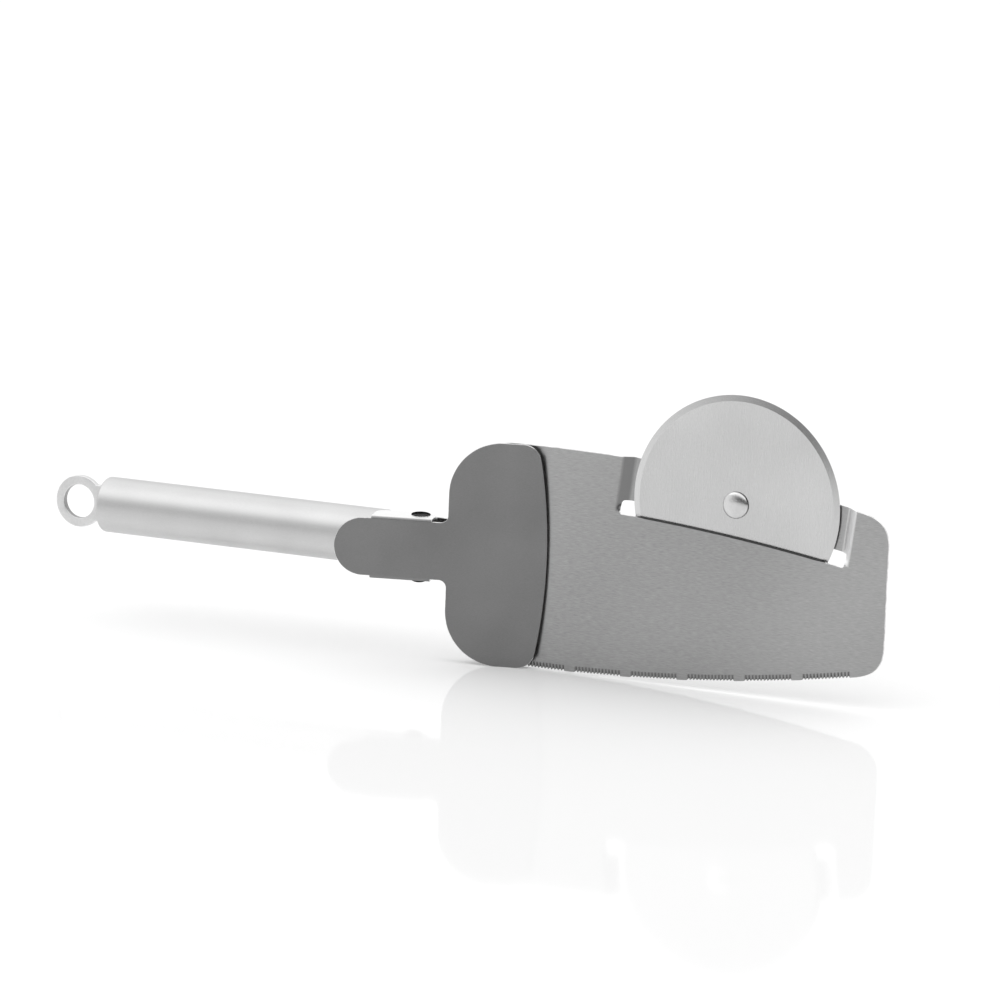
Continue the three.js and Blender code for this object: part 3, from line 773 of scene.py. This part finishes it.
def named(tree, attribute):
    """The value of one of a mesh's own attributes."""
    made = add(tree, "GeometryNodeInputNamedAttribute", {"Name": attribute}, data_type="FLOAT")
    return made.outputs["Attribute"]


def marked(tree, geometry, attribute, value, domain):
    """Geometry that carries a value as one of its own attributes."""
    inputs = {"Geometry": geometry, "Name": attribute, "Value": value}
    made = add(tree, "GeometryNodeStoreNamedAttribute", inputs, data_type="FLOAT", domain=domain)
    return made.outputs["Geometry"]


def close_tree(tree, start, end, geometry):
    """Ends a tree with plain geometry that carries its material."""
    plain = add(tree, "GeometryNodeRealizeInstances", {0: geometry})
    coated = {"Geometry": plain.outputs[0], "Material": start.outputs["Material"]}
    feed(tree, end.inputs["Geometry"], add(tree, "GeometryNodeSetMaterial", coated).outputs[0])


def apply_tree(made, tree, sizes):
    """Runs a geometry tree on an object with its sizes and material, and keeps the result as a plain mesh."""
    modifier = made.modifiers.new(tree.name, "NODES")
    modifier.node_group = tree
    names = {item.name: item.identifier for item in tree.interface.items_tree if item.in_out == "INPUT"}
    for label, value in {**sizes, "Material": made.data.materials[0]}.items():
        modifier[names[label]] = value
    keep_result(made)


# Teeth: the grinding wheel leaves a flute in the front face and a notch in the edge at each pitch of a group.
tooth_sizes = {
    "First Tooth": datum.x + first_tooth,
    "Tooth Pitch": tooth_pitch,
    "Group Length": teeth_per_group * tooth_pitch,
    "Smooth Gap": smooth_gap,
    "Tooth Depth": tooth_depth,
    "Flute Depth": flute_depth,
}
serration, start, end = geometry_tree("serration", tooth_sizes)
position = add(serration, "GeometryNodeInputPosition").outputs[0]
split = add(serration, "ShaderNodeSeparateXYZ", {0: position})
reach = named(serration, "toward_edge")
along = calculate(serration, "SUBTRACT", split.outputs["X"], start.outputs["First Tooth"])
period = calculate(serration, "ADD", start.outputs["Group Length"], start.outputs["Smooth Gap"])
in_period = calculate(serration, "FLOORED_MODULO", along, period)
in_group = calculate(serration, "LESS_THAN", in_period, start.outputs["Group Length"])
half_pitch = calculate(serration, "MULTIPLY", start.outputs["Tooth Pitch"], 0.5)
swing = calculate(serration, "PINGPONG", in_period, half_pitch)
wave = calculate(serration, "DIVIDE", swing, half_pitch)
cut_in = calculate(serration, "MULTIPLY", wave, in_group)
amount = calculate(serration, "MULTIPLY", cut_in, reach)
notch = calculate(serration, "MULTIPLY", amount, start.outputs["Tooth Depth"])
hollow = calculate(serration, "MULTIPLY", amount, start.outputs["Flute Depth"])
hollow = calculate(serration, "MULTIPLY", hollow, named(serration, "front_side"))
in_strip = calculate(serration, "GREATER_THAN", reach, strip_share)
shown = calculate(serration, "MULTIPLY", cut_in, in_strip)
offset = add(serration, "ShaderNodeCombineXYZ", {"Y": hollow, "Z": notch})
# The flutes are marked for the blade's painted shade.
fluted = marked(serration, start.outputs["Geometry"], "flute", shown, "POINT")
moved = add(serration, "GeometryNodeSetPosition", {"Geometry": fluted, "Offset": offset.outputs[0]})
close_tree(serration, start, end, moved.outputs["Geometry"])
apply_tree(blade, serration, tooth_sizes)
smooth_but_creased(blade, flat=Vector((0, 1, 0)))
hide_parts("blade_plate")
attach(blade, "handle")

# Cutting wheel: a disc stamped from brushed hard stainless sheet and ground to a bevel on both faces.
# It turns on the bush, held between two washers.
wheel_low, wheel_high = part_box("cutting_wheel")
wheel_radius = (wheel_high.z - wheel_low.z) / 2
wheel_thickness = wheel_high.y - wheel_low.y
wheel_hole = 3.3 * mm
wheel_bevel = 2.1 * mm
wheel_edge = 0.2 * mm
wheel_facets = 240
wheel_crease = 7
wheel_centre = Vector(joints["wheel_spin"]["pos_m"])
stone_rings = 9000
bevel_greys = (0.56, 0.7)
bevel_roughness = 0.26
profile_points = 7
profile_steps = profile_points - 1


def off_axis(tree, place):
    """How far a place lies from an axis along Y."""
    across = add(tree, "ShaderNodeVectorMath", {0: place, 1: (1, 0, 1)}, operation="MULTIPLY")
    return add(tree, "ShaderNodeVectorMath", {0: across.outputs[0]}, operation="LENGTH").outputs["Value"]


wheel_steel = steel(
    "polished_wheel_steel",
    greys=(0.55, 0.64),
    roughness=(0.2, 0.3),
    scratches=(5200, 5200, 140),
    patches=25,
    depth=0.008 * mm,
    wear_and_highlight_grey=0.8,
    rim_roughness=0.2,
)
# The grinding stone leaves fine rings round the bevel.
wheel_nodes = wheel_steel.node_tree
place = add(wheel_nodes, "ShaderNodeTexCoord").outputs["Object"]
centred = add(wheel_nodes, "ShaderNodeVectorMath", {0: place, 1: wheel_centre}, operation="SUBTRACT")
ring_noise = {"W": off_axis(wheel_nodes, centred.outputs[0]), "Scale": stone_rings, "Detail": 2}
ground = add(wheel_nodes, "ShaderNodeTexNoise", ring_noise, noise_dimensions="1D")
bevel_grey = mapped(wheel_nodes, ground.outputs["Fac"], (0, 1), bevel_greys)
overlaid(wheel_steel, "bevel", "Base Color", bevel_grey)
overlaid(wheel_steel, "bevel", "Roughness", bevel_roughness)

# The disc is a flat grid: its rows follow the profile and its columns are rolled round the axle.
disc_sizes = {
    "Facets": wheel_facets,
    "Radius": wheel_radius,
    "Hole Radius": wheel_hole,
    "Bevel": wheel_bevel,
    "Thickness": wheel_thickness,
    "Edge": wheel_edge,
    "Centre": wheel_centre,
}
ground_disc, start, end = geometry_tree("ground_disc", disc_sizes)


def halves(tree, size):
    """Half of a size, to either side of the middle."""
    return calculate(tree, "MULTIPLY", size, -0.5), calculate(tree, "MULTIPLY", size, 0.5)


def choose(tree, index, values):
    """One of several values, by its number."""
    made = add(tree, "GeometryNodeIndexSwitch", data_type="FLOAT")
    while len(made.index_switch_items) < len(values):
        made.index_switch_items.new()
    for number, value in enumerate((index, *values)):
        feed(tree, made.inputs[number], value)
    return made.outputs[0]


columns = calculate(ground_disc, "ADD", start.outputs["Facets"], 1)
unrolled = {"Size X": 1, "Size Y": 1, "Vertices X": columns, "Vertices Y": profile_points}
flat_grid = add(ground_disc, "GeometryNodeMeshGrid", unrolled)
position = add(ground_disc, "GeometryNodeInputPosition").outputs[0]
split = add(ground_disc, "ShaderNodeSeparateXYZ", {0: position})
turn = calculate(ground_disc, "MULTIPLY_ADD", split.outputs["X"], 2 * math.pi, math.pi)
step = calculate(ground_disc, "MULTIPLY_ADD", split.outputs["Y"], profile_steps, profile_steps / 2)
step = calculate(ground_disc, "ROUND", step)
hole_radius = start.outputs["Hole Radius"]
rim_radius = start.outputs["Radius"]
bevel_start = calculate(ground_disc, "SUBTRACT", rim_radius, start.outputs["Bevel"])
face_back, face_front = halves(ground_disc, start.outputs["Thickness"])
edge_back, edge_front = halves(ground_disc, start.outputs["Edge"])
radii = (hole_radius, bevel_start, rim_radius, rim_radius, bevel_start, hole_radius, hole_radius)
depths = (face_back, face_back, edge_back, edge_front, face_front, face_front, face_back)
radius = choose(ground_disc, step, radii)
rolled = add(ground_disc, "ShaderNodeCombineXYZ", {
    "X": calculate(ground_disc, "MULTIPLY", radius, calculate(ground_disc, "COSINE", turn)),
    "Y": choose(ground_disc, step, depths),
    "Z": calculate(ground_disc, "MULTIPLY", radius, calculate(ground_disc, "SINE", turn)),
})
bend = {"Geometry": flat_grid.outputs["Mesh"], "Position": rolled.outputs[0]}
bent = add(ground_disc, "GeometryNodeSetPosition", bend)
weld = {"Geometry": bent.outputs[0], "Distance": weld_distance}
welded = add(ground_disc, "GeometryNodeMergeByDistance", weld)
on_bevel = calculate(ground_disc, "GREATER_THAN", off_axis(ground_disc, position), bevel_start)
bevelled = marked(ground_disc, welded.outputs[0], "bevel", on_bevel, "FACE")
put = {"Geometry": bevelled, "Translation": start.outputs["Centre"]}
close_tree(ground_disc, start, end, add(ground_disc, "GeometryNodeTransform", put).outputs[0])

wheel = piece("wheel_disc", bmesh.new(), wheel_steel)
apply_tree(wheel, ground_disc, disc_sizes)
smooth_but_creased(wheel, crease=wheel_crease)
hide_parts("cutting_wheel")
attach(wheel, "wheel")

# Wheel axle: a solid stainless rivet with a domed head in front, set over a burr washer behind the bridge.
# The bush and the two washers on it are plain turned parts that the wheel hides.
axle_head = 4.65 * mm
axle_head_height = 1.4 * mm
axle_shank = 2.0 * mm
axle_tail = 3.0 * mm
axle_tail_height = 1.0 * mm
axle_facets = 72
axle_head_steps = 16
axle_tail_steps = 10
head_seat = 0.9 * mm
slide_gap = 0.1 * mm
burr_low, burr_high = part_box("axle_burr")
burr_radius = (burr_high.z - burr_low.z) / 2
burr_back = wheel_centre.y - burr_high.y
burr_front = wheel_centre.y - burr_low.y
burr_hole = 2.15 * mm
burr_round = 0.15 * mm
burr_facets = 64
burr_steps = 4
tail_seat = burr_back - slide_gap
facing_front = Matrix.Translation(wheel_centre) @ Matrix.Rotation(math.pi / 2, 4, "X")


def dome(radius, base, height, steps):
    """Points of a low dome, from its rim to its crown."""
    angles = even(0, math.pi / 2, steps)[:-1]
    points = [(radius * math.cos(a), base + height * math.sin(a)) for a in angles]
    return points + [(0, base + height)]


def hanging_dome(radius, base, height, steps):
    """Points of a low dome that hangs down, from its crown to its rim, at a base below the middle."""
    return [(across, -along) for across, along in reversed(dome(radius, base, height, steps))]


rivet_steel = steel(
    "set_rivet_steel",
    greys=(0.58, 0.7),
    roughness=(0.16, 0.28),
    scratches=(2600, 2600, 2600),
    patches=300,
    depth=0.01 * mm,
    wear_and_highlight_grey=0.8,
    rim_roughness=0.18,
)
axle_profile = hanging_dome(axle_tail, -tail_seat, axle_tail_height, axle_tail_steps)
axle_profile += [(axle_shank, tail_seat), (axle_shank, head_seat)]
axle_profile += dome(axle_head, head_seat, axle_head_height, axle_head_steps)
axle_pin = piece("axle_rivet_set", turned(axle_profile, axle_facets, facing_front), rivet_steel)
smooth_but_creased(axle_pin)
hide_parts("axle_rivet")
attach(axle_pin, "handle")

burr_profile = [(burr_hole, burr_back)]
burr_profile += arc(burr_radius - burr_round, burr_back + burr_round, burr_round, -90, 0, burr_steps)
burr_profile += arc(burr_radius - burr_round, burr_front - burr_round, burr_round, 0, 90, burr_steps)
burr_profile += [(burr_hole, burr_front), (burr_hole, burr_back)]
burr = piece("burr_washer", turned(burr_profile, burr_facets, facing_front), rivet_steel)
smooth_but_creased(burr)
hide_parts("axle_burr")
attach(burr, "handle")
for hidden in ("axle_bush", "wheel_washer_front", "wheel_washer_back"):
    coat(hidden, rivet_steel)

# Clamp lever: one stamping of satin stainless sheet, a T-shaped plate with a round-ended thumb tongue.
# Two flanges bent back from the tongue straddle the blade's ears and turn on the upright rivet.
lever_lean = math.radians(15)
lever_face = -8.5 * mm
lever_sheet = 1.0 * mm
flange_outer = 11.1 * mm
flange_start = -16.2 * mm
flange_end = 5.4 * mm
flange_back = 4.5 * mm
flange_corner = 4 * mm
flange_pin = 2.15 * mm
flange_steps = 10
bend_radius = 1.1 * mm
bend_columns = 12
bend_steps = 8
tongue_end = -29.1 * mm
tongue_half = 10.2 * mm
tongue_steps = 40
lever_half = 39.55 * mm
lever_edge = 11.1 * mm
lever_shoulder = 19 * mm
lever_fillet = 2.6 * mm
jaw_reach = 46.5 * mm
jaw_radius = 190 * mm
jaw_steps = 40
jaw_corner = 6.8 * mm
jaw_corner_steps = 14
web = flange_outer - bend_radius
shoulder_s = lever_edge + lever_shoulder
jaw_centre = jaw_reach - jaw_radius
corner_z = lever_half - jaw_corner
corner_s = jaw_centre + math.sqrt((jaw_radius - jaw_corner) ** 2 - corner_z**2)
jaw_angle = math.degrees(math.asin(corner_z / (jaw_radius - jaw_corner)))
bend_places = even(flange_start, flange_end, bend_columns)

lower_half = [(flange_start, -tongue_half)] + [(s, -web) for s in bend_places] + [(flange_end, -tongue_half)]
lower_half += arc(lever_edge - lever_fillet, -tongue_half - lever_fillet, lever_fillet, 90, 0, fillet_steps)
lower_half += arc(shoulder_s, lever_shoulder - lever_half, lever_shoulder, 180, 270, shoulder_steps)
lower_half += arc(corner_s, -corner_z, jaw_corner, 270, 360 - jaw_angle, jaw_corner_steps)
jaw = arc(jaw_centre, 0, jaw_radius, -jaw_angle, jaw_angle, jaw_steps)[1:-1]
upper_half = [(s, -z) for s, z in reversed(lower_half)]
tongue = arc(tongue_end + tongue_half, 0, tongue_half, 90, 270, tongue_steps)

lever_shape = new_sheet()
fill(lever_shape, lower_half + jaw + upper_half + tongue, y=lever_face)
flange = [(s, lever_face + bend_radius) for s in bend_places]
flange += arc(flange_end - flange_corner, flange_back - flange_corner, flange_corner, 0, 90, flange_steps)
flange += arc(flange_start + flange_corner, flange_back - flange_corner, flange_corner, 90, 180, flange_steps)
# The upper flange and the upper half of its bend get a painted highlight, for the light from overhead.
for side in (-1, 1):
    flange_shape = new_sheet()
    fill(flange_shape, flange, [circle(0, 0, flange_pin, pin_hole_facets)])
    painted_highlight = flange_shape.verts.layers.float["painted_highlight"]
    for vert in flange_shape.verts:
        vert[painted_highlight] = side > 0
    lay_flat(flange_shape, side * flange_outer)
    join(lever_shape, flange_shape)
    painted_highlight = lever_shape.verts.layers.float["painted_highlight"]
    for s, next_s in zip(bend_places, bend_places[1:]):
        for i in range(bend_steps):
            corners = []
            for along, step in ((s, i), (next_s, i), (next_s, i + 1), (s, i + 1)):
                angle = step * math.pi / 2 / bend_steps
                y = lever_face + bend_radius * (1 - math.cos(angle))
                z = side * (web + bend_radius * math.sin(angle))
                vert = lever_shape.verts.new((along, y, z))
                vert[painted_highlight] = max(0.0, 2 * step / bend_steps - 1) if side > 0 else 0.0
                corners.append(vert)
            lever_shape.faces.new(corners)
bmesh.ops.remove_doubles(lever_shape, verts=lever_shape.verts, dist=weld_distance)
bmesh.ops.recalc_face_normals(lever_shape, faces=lever_shape.faces)
lever_shape.normal_update()
front_face = min(lever_shape.faces, key=lambda face: face.calc_center_median().y)
if front_face.normal.y > 0:
    bmesh.ops.reverse_faces(lever_shape, faces=lever_shape.faces)


def on_jaw(point):
    """Whether a point lies on the lever's wide curved edge."""
    return math.hypot(point.x - jaw_centre, point.z) > jaw_radius - 2 * rim_round


thicken(lever_shape, lever_sheet)
round_rims(lever_shape, rim_round, rim_steps)
mark_sheared(lever_shape, rim_slope, on_jaw)
lever_shape.transform(Matrix.Translation(pivot) @ Matrix.Rotation(lever_lean, 4, "Z"))

# Painted shade: the lever's greys sit well below the blade's, for the darkness that its leaning face
# reflects.
lever_steel = steel(
    "satin_clamp_steel",
    greys=(0.22, 0.28),
    roughness=(0.4, 0.5),
    scratches=(160, 5200, 5200),
    patches=30,
    depth=0.012 * mm,
    wear_and_highlight_grey=0.95,
    rim_roughness=0.28,
)
# Painted shade on the jaw's sheared side, for the dark gap under its edge.
overlaid(lever_steel, "sheared", "Base Color", gap_shade_grey)
lever = piece("lever_stamping", lever_shape, lever_steel)
smooth_but_creased(lever)
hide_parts("clamp_lever")
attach(lever, "clamp")

# Pivot rivet: a near-black steel pin, upright through the lever's flanges and the ears.
# Its head on top is low, and its tail below is set over higher.
pin_low, pin_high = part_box("pivot_rivet")
pin_head = 3.4 * mm
pin_head_height = 0.8 * mm
pin_tail_height = 1.8 * mm
pin_shank = 2.0 * mm
pin_facets = 64
pin_steps = 14
black_sheen = (0.1, 0.1, 0.1, 1)
pin_seat = (pin_high.z - pin_low.z - pin_head_height - pin_tail_height) / 2
pin_profile = hanging_dome(pin_head, pin_seat, pin_tail_height, pin_steps)
pin_profile += [(pin_shank, -pin_seat), (pin_shank, pin_seat)]
pin_profile += dome(pin_head, pin_seat, pin_head_height, pin_steps)
dark_rivet_steel = steel(
    "near_black_rivet_steel",
    greys=(0.05, 0.09),
    roughness=(0.22, 0.34),
    scratches=(2600, 2600, 2600),
    patches=300,
    depth=0.01 * mm,
    wear_and_highlight_grey=0.2,
    rim_roughness=0.2,
)
dark_rivet_shader = dark_rivet_steel.node_tree.nodes["Principled BSDF"]
dark_rivet_shader.inputs["Specular Tint"].default_value = black_sheen
pin = piece("pivot_rivet_set", turned(pin_profile, pin_facets, Matrix.Translation(pivot)), dark_rivet_steel)
smooth_but_creased(pin)
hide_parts("pivot_rivet")
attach(pin, "handle")

# Clamp spring: hard-drawn wire wound round the rivet. One leg lies on the tang, the other under the tongue,
# so that the coil winds up when the tongue is pressed.
spring_wire = 1.0 * mm
spring_radius = 3.4 * mm
spring_turns = 6
spring_pitch = 1.8 * mm
spring_reach = 13 * mm
spring_clear = 0.3 * mm
wire_sides = 12
points_per_turn = 28
leg_points = 10
tang_seat = Vector((-spring_reach, blade_front - spring_clear - spring_wire / 2 - ear_y))
tongue_seat = Vector((-spring_reach, lever_face + lever_sheet + spring_clear + spring_wire / 2))
tongue_seat.rotate(Matrix.Rotation(lever_lean, 2))
first_angle = math.atan2(tang_seat.y, tang_seat.x) - math.acos(spring_radius / tang_seat.length)
last_angle = math.atan2(tongue_seat.y, tongue_seat.x) + math.acos(spring_radius / tongue_seat.length)
if last_angle > first_angle:
    last_angle -= 2 * math.pi
last_angle -= 2 * math.pi * spring_turns
coil_rise = spring_pitch * (first_angle - last_angle) / (2 * math.pi)
coil_points = spring_turns * points_per_turn


def leg(seat, angle, height):
    """Points of a straight leg from its seat to where it meets the coil."""
    meet = Vector((spring_radius * math.cos(angle), spring_radius * math.sin(angle)))
    return [(*seat.lerp(meet, i / leg_points), height) for i in range(leg_points)]


wire = leg(tang_seat, first_angle, -coil_rise / 2)
for i in range(coil_points + 1):
    share = i / coil_points
    angle = first_angle + (last_angle - first_angle) * share
    wire.append((spring_radius * math.cos(angle), spring_radius * math.sin(angle), coil_rise * (share - 0.5)))
wire += reversed(leg(tongue_seat, last_angle, coil_rise / 2))

spring_steel = steel(
    "drawn_spring_steel",
    greys=(0.42, 0.56),
    roughness=(0.26, 0.38),
    scratches=(3000, 3000, 3000),
    patches=400,
    depth=0.01 * mm,
    wear_and_highlight_grey=0.6,
    rim_roughness=0.25,
)
wire_sizes = {"Wire Diameter": spring_wire, "Sides": wire_sides}
wound_wire, start, end = geometry_tree("wound_wire", wire_sizes)
half_wire = calculate(wound_wire, "MULTIPLY", start.outputs["Wire Diameter"], 0.5)
path = add(wound_wire, "GeometryNodeMeshToCurve", {"Mesh": start.outputs["Geometry"]})
round_section = {"Resolution": start.outputs["Sides"], "Radius": half_wire}
section = add(wound_wire, "GeometryNodeCurvePrimitiveCircle", round_section)
sweep = {"Curve": path.outputs["Curve"], "Profile Curve": section.outputs["Curve"], "Fill Caps": True}
swept = add(wound_wire, "GeometryNodeCurveToMesh", sweep)
smooth = add(wound_wire, "GeometryNodeSetShadeSmooth", {"Geometry": swept.outputs["Mesh"]})
close_tree(wound_wire, start, end, smooth.outputs["Geometry"])

wire_shape = bmesh.new()
wire_verts = [wire_shape.verts.new(Vector(point) + pivot) for point in wire]
for first, second in zip(wire_verts, wire_verts[1:]):
    wire_shape.edges.new((first, second))
spring = piece("wound_spring", wire_shape, spring_steel)
apply_tree(spring, wound_wire, wire_sizes)
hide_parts("clamp_spring")
coil_foot = pivot - Vector((0, 0, coil_rise / 2))
coil_head = pivot + Vector((0, 0, coil_rise / 2))
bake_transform(spring, "handle", "clamp", start=coil_foot, end=coil_head)

# Floor: a wide sheet of glossy white acrylic.
# It mirrors the tool faintly and keeps its shadow.
floor_half = 6.0
floor_white = (0.84, 0.84, 0.84, 1)
mirror_white = (1, 1, 1, 1)
mirror_roughness = 0.06
mirror_share = 0.15
floor_glow = 0.05
floor_shape = bmesh.new()
corners = ((-1, -1), (1, -1), (1, 1), (-1, 1))
floor_shape.faces.new([floor_shape.verts.new((x * floor_half, y * floor_half, 0)) for x, y in corners])
acrylic = bpy.data.materials.new("white_acrylic")
acrylic.use_nodes = True
acrylic_nodes = acrylic.node_tree
acrylic_nodes.nodes.remove(acrylic_nodes.nodes["Principled BSDF"])
matte = add(acrylic_nodes, "ShaderNodeBsdfDiffuse", {"Color": floor_white})
mirror = add(acrylic_nodes, "ShaderNodeBsdfGlossy", {"Roughness": mirror_roughness, "Color": mirror_white})
layers = {0: mirror_share, 1: matte.outputs[0], 2: mirror.outputs[0]}
surface = add(acrylic_nodes, "ShaderNodeMixShader", layers)
rays = add(acrylic_nodes, "ShaderNodeLightPath")
seen = calculate(acrylic_nodes, "MAXIMUM", rays.outputs["Is Camera Ray"], rays.outputs["Is Glossy Ray"])
seen = calculate(acrylic_nodes, "MAXIMUM", seen, rays.outputs["Is Transmission Ray"])
glow = add(acrylic_nodes, "ShaderNodeEmission", {"Strength": floor_glow, "Color": seen})
total = add(acrylic_nodes, "ShaderNodeAddShader", {0: surface.outputs[0], 1: glow.outputs[0]})
feed(acrylic_nodes, acrylic_nodes.nodes["Material Output"].inputs["Surface"], total.outputs[0])
floor = piece("studio_floor", floor_shape, acrylic)

# Studio: white walls to the left, behind and overhead, a dark room in front and to the right, and a softbox.
# Each wall has the way it lies, where its white begins and is full, and how bright it is.
room_dark = 0.12
left_wall = ((-0.985, 0.17, 0), -0.12, 0.6, 1.0)
back_wall = ((0.25, 0.97, 0), 0, 0.5, 1.0)
ceiling = ((0, 0, 1), 0.25, 0.7, 1.4)
studio = bpy.data.worlds.new("studio")
bpy.context.scene.world = studio
studio.use_nodes = True
studio_nodes = studio.node_tree
view = add(studio_nodes, "ShaderNodeTexCoord").outputs["Generated"]
brightest = room_dark
for facing, begins, ends, white in (left_wall, back_wall, ceiling):
    towards = add(studio_nodes, "ShaderNodeVectorMath", {0: view, 1: facing}, operation="DOT_PRODUCT")
    ranges = ((begins, ends), (room_dark, white))
    wall = mapped(studio_nodes, towards.outputs["Value"], *ranges, interpolation_type="SMOOTHSTEP")
    brightest = calculate(studio_nodes, "MAXIMUM", brightest, wall)
feed(studio_nodes, studio_nodes.nodes["Background"].inputs["Color"], brightest)

softbox_place = Vector((-0.9, -0.7, 1.3))
softbox = bpy.data.lights.new("softbox", "AREA")
softbox.energy = 1.5
softbox.size = 1.1
softbox_object = bpy.data.objects.new("softbox", softbox)
bpy.context.scene.collection.objects.link(softbox_object)
softbox_object.location = softbox_place
softbox_object.rotation_euler = (-softbox_place).to_track_quat("-Z", "Y").to_euler()

# Camera: a long lens from the front right.
# It stands a little above the tool and is rolled as the photograph is.
azimuth = math.radians(24.306)
elevation = math.radians(10.099)
roll = math.radians(2.132)
camera_place = Vector((808.0, -1749.5, 400.85)) * mm
level = Vector((math.cos(azimuth), math.sin(azimuth), 0))
backward = Vector((
    math.sin(azimuth) * math.cos(elevation),
    -math.cos(azimuth) * math.cos(elevation),
    math.sin(elevation),
))
upward = backward.cross(level)
right = level * math.cos(roll) + upward * math.sin(roll)
up = upward * math.cos(roll) - level * math.sin(roll)
camera = bpy.data.cameras.new("camera")
camera.lens = 201.9
camera.sensor_width = 36
camera.clip_end = 50
camera_object = bpy.data.objects.new("camera", camera)
bpy.context.scene.collection.objects.link(camera_object)
camera_turn = Matrix((right, up, backward)).transposed().to_4x4()
camera_object.matrix_world = Matrix.Translation(camera_place) @ camera_turn
bpy.context.scene.camera = camera_object
bpy.context.scene.view_settings.view_transform = "Standard"
